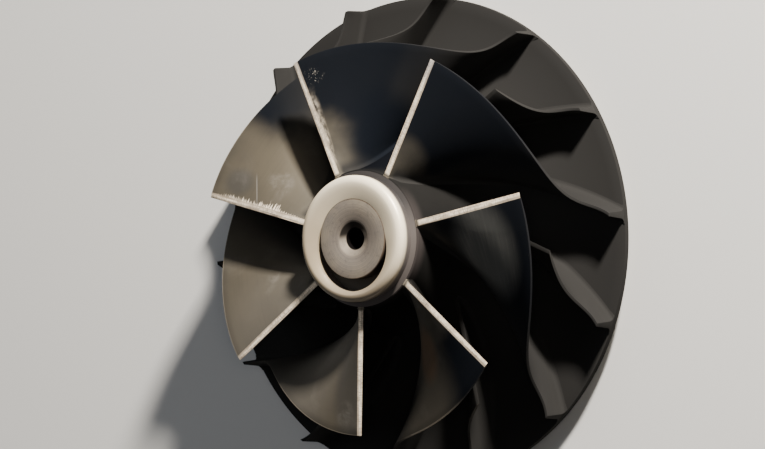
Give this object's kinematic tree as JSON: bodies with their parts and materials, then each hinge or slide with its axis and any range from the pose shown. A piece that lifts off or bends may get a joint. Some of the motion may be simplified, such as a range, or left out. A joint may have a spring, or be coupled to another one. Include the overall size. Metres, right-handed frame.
{
  "type": "centrifugal compressor impeller",
  "caption": "Open centrifugal compressor wheel: swept full and splitter blades on a flared hub with a back disc, a round nose ring and a recessed shaft end.",
  "frame": {"origin": "centre of the rear hub face, on the axis of the wheel", "axes": "+Z along the axis out of the inlet; +Y halfway between full blades 1 and 2 at the inlet; +X to its right as the inlet is looked at"},
  "size_m": [0.24, 0.24, 0.07],
  "materials": {
    "hub_metal": "milled, dulled by use",
    "blade_metal": "flank milled, satin, with bare bright edges",
    "nose_metal": "blasted, rounded, pale",
    "shaft_steel": "fine turned",
    "rear_metal": "turned"
  },
  "bodies": {
    "root": {"hub_neck": "hub_metal", "hub_flare": "hub_metal", "back_disc": "hub_metal", "nose_ring": "nose_metal", "shaft_end": "shaft_steel", "shaft_stub": "shaft_steel", "rear_boss": "rear_metal", "seal_land_1": "rear_metal", "seal_land_2": "rear_metal", "seal_land_3": "rear_metal", "full_blade_1": "blade_metal", "full_blade_2": "blade_metal", "full_blade_3": "blade_metal", "full_blade_4": "blade_metal", "full_blade_5": "blade_metal", "full_blade_6": "blade_metal", "full_blade_7": "blade_metal", "splitter_blade_1": "blade_metal", "splitter_blade_2": "blade_metal", "splitter_blade_3": "blade_metal", "splitter_blade_4": "blade_metal", "splitter_blade_5": "blade_metal", "splitter_blade_6": "blade_metal", "splitter_blade_7": "blade_metal"}
  },
  "joints": []
}
